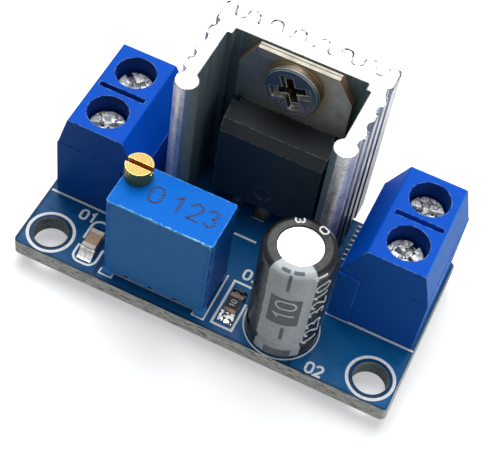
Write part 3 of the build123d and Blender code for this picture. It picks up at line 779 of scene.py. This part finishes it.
class Shape:
    """A mesh that is gathered from flat bands and patches in millimetres."""

    def __init__(self, name, place):
        self.name = name
        self.place = place
        self.vertices = []
        self.faces = []

    def band(self, line, width, closed=False, height=ink_height):
        """A flat band along a line of (x, y) points, with mitred corners."""
        path = [Vector(point) for point in line]
        count = len(path)
        start = len(self.vertices)
        for i, here in enumerate(path):
            steps = []
            if i > 0 or closed:
                steps.append((here - path[i - 1]).normalized())
            if i < count - 1 or closed:
                steps.append((path[(i + 1) % count] - here).normalized())
            normals = [Vector((-step.y, step.x)) for step in steps]
            mitre = sum(normals, Vector((0, 0))).normalized()
            reach = width / 2 / max(least_mitre, mitre.dot(normals[0]))
            left = here + mitre * reach
            right = here - mitre * reach
            for side, level in ((left, 0), (left, height), (right, height), (right, 0)):
                self.vertices.append(self.place(*side, level))
        for i in range(count if closed else count - 1):
            near = start + 4 * i
            far = start + 4 * ((i + 1) % count)
            for a, b in ((0, 1), (1, 2), (2, 3), (3, 0)):
                self.faces.append((near + a, near + b, far + b, far + a))
        if not closed:
            last = start + 4 * (count - 1)
            self.faces.append((start + 3, start + 2, start + 1, start))
            self.faces.append((last, last + 1, last + 2, last + 3))

    def patch(self, outline, height=ink_height):
        """A flat plate with that outline."""
        start = len(self.vertices)
        count = len(outline)
        for level in (0, height):
            self.vertices += [self.place(x, y, level) for x, y in outline]
        self.faces.append(tuple(start + count + i for i in range(count)))
        self.faces.append(tuple(start + i for i in reversed(range(count))))
        for i in range(count):
            j = (i + 1) % count
            self.faces.append((start + i, start + j, start + count + j, start + count + i))

    def sheet(self, low_x, high_x, low_y, high_y):
        """A flat patch in small squares, so that it follows a curved face."""
        start = len(self.vertices)
        row = sheet_steps + 1
        for i in range(row):
            x = low_x + (high_x - low_x) * i / sheet_steps
            for j in range(row):
                self.vertices.append(self.place(x, low_y + (high_y - low_y) * j / sheet_steps, ink_height))
        for i in range(sheet_steps):
            for j in range(sheet_steps):
                corner = start + i * row + j
                self.faces.append((corner, corner + row, corner + row + 1, corner + 1))

    def piece(self, look):
        """Adds the mesh to the scene, on the module's body."""
        mesh = bpy.data.meshes.new(self.name)
        mesh.from_pydata([Vector(v) * MM for v in self.vertices], [], self.faces)
        mesh.update()
        mesh.materials.append(look.material)
        made = add_object(self.name, mesh)
        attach(made, MODULE)


def on_board(x, y, height):
    """A place on the board's top face, from the board's middle."""
    return board_mid.x + x, board_mid.y + y, deck + height


def under_board(x, y, height):
    """A place on the board's underside, as seen from below."""
    return board_mid.x - x, board_mid.y + y, board_low.z - height


def on_sleeve(along, up, height):
    """A place on the sleeve: the way round it from +X, and the way up its wall and over its shoulder."""
    wall = sleeve_high.z - sleeve_shoulder_r
    over = up - (wall - deck)
    turned = along / sleeve_r
    if over <= 0:
        radius = sleeve_r + height
        level = deck + up
    else:
        lean = min(over / sleeve_shoulder_r, math.pi / 2)
        inwards = over - lean * sleeve_shoulder_r
        radius = sleeve_r - sleeve_shoulder_r + (sleeve_shoulder_r + height) * math.cos(lean) - inwards
        level = wall + (sleeve_shoulder_r + height) * math.sin(lean)
    return sleeve_mid.x + radius * math.cos(turned), sleeve_mid.y + radius * math.sin(turned), level


def round_sleeve(degrees):
    """The way round the sleeve, in millimetres from +X."""
    return math.radians(degrees) * sleeve_r


def on_trimmer_front(x, y, height):
    """A place on the trimmer's front plate, from the board's top below the case's left edge."""
    return trimmer_low.x + x, cover_low.y - height, deck + y


def on_trimmer(x, y, height):
    """A place on the trimmer's top, from its front left corner."""
    return trimmer_low.x + x, trimmer_low.y + y, trimmer_high.z + height


def arc(x, y, r, start, end, steps=6):
    """Points round part of a circle, in degrees."""
    turns = [math.radians(start + (end - start) * i / steps) for i in range(steps + 1)]
    return [(x + r * math.cos(turn), y + r * math.sin(turn)) for turn in turns]


def finer(line):
    """The same line with more points, so that it can follow a curved face."""
    points = [line[0]]
    for (ax, ay), (bx, by) in zip(line[:-1], line[1:]):
        parts = max(1, math.ceil(math.hypot(bx - ax, by - ay) / line_step))
        points += [(ax + (bx - ax) * i / parts, ay + (by - ay) * i / parts) for i in range(1, parts + 1)]
    return points


def circle(x, y, r):
    return arc(x, y, r, 0, 360 * (circle_steps - 1) / circle_steps, circle_steps - 1)


# Plain figures, each a few lines in a box one high and 0.6 wide
figures = {
    "0": [arc(0.3, 0.7, 0.3, 0, 180, 8) + arc(0.3, 0.3, 0.3, 180, 360, 8) + [(0.6, 0.7)]],
    "1": [[(0.1, 0.78), (0.34, 1), (0.34, 0)]],
    "2": [arc(0.3, 0.72, 0.28, 170, -40, 8) + [(0.04, 0), (0.6, 0)]],
    "3": [arc(0.28, 0.76, 0.24, 150, -80, 8) + arc(0.28, 0.27, 0.27, 80, -150, 8)],
    "+": [[(0, 0.5), (0.6, 0.5)], [(0.3, 0.2), (0.3, 0.8)]],
    "-": [[(0, 0.5), (0.6, 0.5)]],
}


def figure_lines(text, x, y, height, turn=0, spacing=0.85):
    """The lines of some plain figures, set out from (x, y) in a row turned by that many degrees."""
    cos = math.cos(math.radians(turn))
    sin = math.sin(math.radians(turn))
    lines = []
    for i, sign in enumerate(text):
        for line in figures[sign]:
            placed = [((px + i * spacing) * height, py * height) for px, py in line]
            lines.append([(x + px * cos - py * sin, y + px * sin + py * cos) for px, py in placed])
    return lines


def dots_along(line, step):
    """Places at an even step along a line."""
    places = [line[0]]
    left = step
    for (ax, ay), (bx, by) in zip(line[:-1], line[1:]):
        length = math.hypot(bx - ax, by - ay)
        while length > 0 and left <= length:
            ax += (bx - ax) * left / length
            ay += (by - ay) * left / length
            length = math.hypot(bx - ax, by - ay)
            places.append((ax, ay))
            left = step
        left -= length
    return places


def rounded_frame(low_x, low_y, high_x, high_y, r):
    """The outline of a rectangle with round corners."""
    return (arc(high_x - r, high_y - r, r, 0, 90) + arc(low_x + r, high_y - r, r, 90, 180)
            + arc(low_x + r, low_y + r, r, 180, 270) + arc(high_x - r, low_y + r, r, 270, 360))


def write(shape, text, x, y, tall, width, turn=0, height=ink_height):
    """Adds a row of plain figures to a shape."""
    for line in figure_lines(text, x, y, tall, turn):
        shape.band(line, width, height=height)


def hole_rings(shape):
    """The printed rings round the fixing holes."""
    for x in (-fixing_hole_x, fixing_hole_x):
        middle_line = circle(x, fixing_hole_y, (ring_outer + ring_inner) / 2)
        shape.band(middle_line, ring_outer - ring_inner, closed=True)


# The white print's lines, from the board's middle
terminal_lines = (((-17.5, -1.96), (-9.75, -1.96)), ((9.35, -1.98), (17.55, -1.98)))
trimmer_frame = ((-9.62, -7.2), (-9.62, -7.8), (-8.45, -7.8), (-8.45, -7.24), (-0.7, -7.24), (-0.7, -7.75),
                 (0.38, -7.75), (0.34, -2.6))
heatsink_line = ((-1.17, 1.73), (1.01, 1.73))
resistor_frame = ((2.98, -3.05), (2.98, -2.84), (1.08, -2.84), (1.08, -7.6), (2.98, -7.6), (2.98, -4.6))

# The two round brackets about the chip capacitor, and where their arms end
bracket_left = -11.75
bracket_right = -11.1
bracket_low = -6.9
bracket_high = -3.75
bracket_r = 0.75
bracket_low_ends = (-5.95, -5.6)
bracket_high_ends = (-3.55, -5.25)

# The ring round the capacitor, the plain figures, and the short ticks beside the heatsink
capacitor_ring_r = 3.29
capacitor_ring_width = 0.13
board_figures = (("01", -13.95, -3.5), ("02", 10, -8.15), ("03", 1.5, -2.25))
board_figure_height = 1
tick_count = 8
tick_ends = (8.35, 8.75)
tick_start = 3.95
tick_pitch = 0.58


def board_print(ink):
    """The white print on the board's top."""
    shape = Shape("board_print", on_board)
    hole_rings(shape)
    for line in terminal_lines:
        shape.band(line, outline_width)
    shape.band(trimmer_frame, thin_width)
    shape.band(heatsink_line, outline_width)
    shape.band(resistor_frame, outline_width)
    outer_left = bracket_left - bracket_r
    outer_right = bracket_right + bracket_r
    shape.band([(outer_left, bracket_low_ends[0])] + arc(bracket_left, bracket_low, bracket_r, 180, 270)
               + arc(bracket_right, bracket_low, bracket_r, 270, 360)
               + [(outer_right, bracket_low_ends[1])], outline_width)
    shape.band([(outer_right, bracket_high_ends[0])] + arc(bracket_right, bracket_high, bracket_r, 0, 90)
               + arc(bracket_left, bracket_high, bracket_r, 90, 180)
               + [(outer_left, bracket_high_ends[1])], outline_width)
    middle = sleeve_mid - board_mid
    shape.band(circle(middle.x, middle.y, capacitor_ring_r), capacitor_ring_width, closed=True)
    for text, x, y in board_figures:
        write(shape, text, x, y, board_figure_height, figure_width)
    for i in range(tick_count):
        y = tick_start + tick_pitch * i
        shape.band([(x, y) for x in tick_ends], thin_width)
    shape.piece(ink)


# Plain polarity signs beside the terminals' joints, as seen from below
sign_height = 1.1
sign_width = 0.2
sign_columns = (-15.3, 14.7)
sign_rows = (("+", 5.2), ("-", 0.2))


def underside_print(ink):
    """The white print on the board's underside."""
    shape = Shape("underside_print", under_board)
    for x in sign_columns:
        for text, y in sign_rows:
            write(shape, text, x, y, sign_height, sign_width)
    hole_rings(shape)
    shape.piece(ink)


# The tinned pads round the regulator's leads
lead_pitch = 2.54
pad_half_width = 0.72
pad_front = 1.6
pad_back = 1.1
pad_corner_r = 0.3
pad_height = 0.03


def lead_pads(tin):
    """The pads that show inside the heatsink."""
    shape = Shape("lead_pads", on_board)
    middle = middle_of("regulator_leads") - board_mid
    for x in (middle.x - lead_pitch, middle.x, middle.x + lead_pitch):
        outline = rounded_frame(x - pad_half_width, middle.y - pad_front, x + pad_half_width,
                                middle.y + pad_back, pad_corner_r)
        shape.patch(outline, pad_height)
    shape.piece(tin)


# The figures on the trimmer's top, from its front left corner
trimmer_figures = (("0", 2.8), ("123", 4.85))
trimmer_figure_y = 1.65
trimmer_figure_height = 1.7
trimmer_figure_spacing = 0.86


def trimmer_print(ink):
    """Plain figures in short dashes on the trimmer's top."""
    shape = Shape("trimmer_print", on_trimmer)
    dash = [(-dash_length / 2, -dash_width / 2), (dash_length / 2, -dash_width / 2),
            (dash_length / 2, dash_width / 2), (-dash_length / 2, dash_width / 2)]
    for text, place in trimmer_figures:
        for line in figure_lines(text, place, trimmer_figure_y, trimmer_figure_height,
                                 spacing=trimmer_figure_spacing):
            for x, y in dots_along(line, dash_step):
                shape.patch([(x + end, y + side) for end, side in dash])
    shape.piece(ink)


# Signs on the sleeve's stripe: degrees round it, from and to, then millimetres up it, from and to
sleeve_signs = ((-83.5, -78.5, 9.95, 11.9), (-104, -55, 5.1, 8.8), (-78.5, -73, 2.9, 4.65),
                (-98, -55.5, 0.25, 1.3), (-100, -84, 12.05, 12.35), (-78, -60, 12.05, 12.35))

# Figures on the sleeve: degrees round it, then millimetres up it and their height
sleeve_figures = (("10", -63, 5.95, 1.7), ("123", -12, 1.7, 1.45), ("3210", -12, 5.9, 1.45),
                  ("1", -22, 11.25, 1.2), ("3", 124, 12.1, 0.95), ("0", 74, 12.1, 0.95))
sleeve_figure_width = 0.17


def sleeve_marks(dark_ink, white_ink):
    """The signs on the sleeve's stripe, and plain figures on its dark side and shoulder."""
    signs = Shape("sleeve_signs", on_sleeve)
    for start, end, low, high in sleeve_signs:
        signs.sheet(round_sleeve(start), round_sleeve(end), low, high)
    signs.piece(dark_ink)
    printed = Shape("sleeve_figures", on_sleeve)
    for text, degrees, up, tall in sleeve_figures:
        for line in figure_lines(text, round_sleeve(degrees), up, tall, turn=90):
            printed.band(finer(line), sleeve_figure_width, height=2 * ink_height)
    printed.piece(white_ink)


# The resin's edge: its place on the case, its lower line, and the steps at which that draws back
resin_inset = 0.85
resin_top = 1.3
resin_steps = 80
resin_low = 0.56
drip_rise = 0.36
drip_reach = 4
drip_gaps = (14, 37, 61)


def resin_edge(resin):
    """Resin that has run down between the trimmer's front feet."""
    shape = Shape("resin_edge", on_trimmer_front)
    length = trimmer_high.x - trimmer_low.x
    lower = []
    for i in range(resin_steps + 1):
        x = resin_inset + (length - 2 * resin_inset) * i / resin_steps
        notch = max(0, 1 - min(abs(i - middle) for middle in drip_gaps) / drip_reach)
        waves = 0.05 * math.sin(i * 0.71) + 0.03 * math.sin(i * 1.9)
        lower.append((x, resin_low + drip_rise * notch + waves))
    shape.patch(lower + [(length - resin_inset, resin_top), (resin_inset, resin_top)])
    shape.piece(resin)


# The figure on the chip resistor, from the middle of its coat
chip_figure_place = (0.22, -0.38)
chip_figure_height = 0.46
chip_figure_width = 0.055
chip_ink_height = 0.006


def chip_marks(ink):
    """A plain figure on the chip resistor."""
    middle = middle_of("chip_resistor_coat")
    top = corners("chip_resistor_coat")[1].z

    def on_chip(x, y, height):
        return middle.x + x, middle.y + y, top + height

    shape = Shape("chip_mark", on_chip)
    write(shape, "10", *chip_figure_place, chip_figure_height, chip_figure_width, 90, chip_ink_height)
    shape.piece(ink)


def make_floor():
    reach = floor_reach * MM
    mesh = bpy.data.meshes.new("floor")
    mesh.from_pydata([(-reach, -reach, 0), (reach, -reach, 0), (reach, reach, 0), (-reach, reach, 0)],
                     [], [(0, 1, 2, 3)])
    mesh.materials.append(floor_look())
    floor = add_object("floor", mesh)


def make_camera():
    """The camera as it was solved from the photograph."""
    turn = math.radians(camera_azimuth)
    rise = math.radians(camera_elevation)
    roll = math.radians(camera_roll)
    back = Vector((math.sin(turn) * math.cos(rise), -math.cos(turn) * math.cos(rise), math.sin(rise)))
    right = Vector((math.cos(turn), math.sin(turn), 0))
    up = back.cross(right)
    across = right * math.cos(roll) + up * math.sin(roll)
    over = up * math.cos(roll) - right * math.sin(roll)
    data = bpy.data.cameras.new("camera")
    data.sensor_width = sensor_width
    data.lens = focal_pixels / image_width * sensor_width
    data.clip_start = camera_near * MM
    data.clip_end = camera_far * MM
    camera = add_object("camera", data)
    facing = Matrix((across, over, back)).transposed().to_4x4()
    camera.matrix_world = Matrix.Translation(Vector(camera_place) * MM) @ facing
    bpy.context.scene.camera = camera


def area_light(name, place, size, power):
    """A square light that faces the module."""
    data = bpy.data.lights.new(name, "AREA")
    data.size = size * MM
    data.energy = power
    light = add_object(name, data)
    light.location = Vector(place) * MM
    light.rotation_euler = Vector(place).to_track_quat("Z", "Y").to_euler()


def make_lights():
    """Two lamps and a pale sky, which mirrors see brighter and the camera sees white."""
    area_light("key", key_place, key_size, key_power)
    area_light("fill", fill_place, fill_size, fill_power)
    world = bpy.data.worlds.new("studio")
    bpy.context.scene.world = world
    graph = Graph(world)
    place = graph.node("TexCoord", {}).outputs["Generated"]
    level = graph.node("SeparateXYZ", {0: place}).outputs["Z"]
    path = graph.node("LightPath", {}).outputs

    def sky(low, high):
        rise = graph.node("MapRange", {"Value": level, "From Min": sky_start, "From Max": sky_end,
                                       "To Min": low, "To Max": high})
        return rise.outputs["Result"]

    def choose(ray, other, value):
        return graph.node("Mix", {"Factor": path[ray], "A": other, "B": value}).outputs["Result"]

    strength = choose("Is Glossy Ray", sky(world_low, world_top), sky(mirror_low, mirror_top))
    strength = choose("Is Camera Ray", strength, 1)
    graph.feed(graph.nodes["Background"], {"Strength": strength, "Color": sky_colour})


make_camera()
dress_nodes()
white_ink = ink_look()
board_print(white_ink)
underside_print(white_ink)
lead_pads(tin_look())
trimmer_print(dark_ink_look("trimmer_ink", (30, 26, 52)))
sleeve_marks(dark_ink_look("sleeve_ink", (84, 92, 98)), white_ink)
chip_marks(white_ink)
make_floor()
make_lights()
bpy.context.scene.view_settings.view_transform = "Standard"
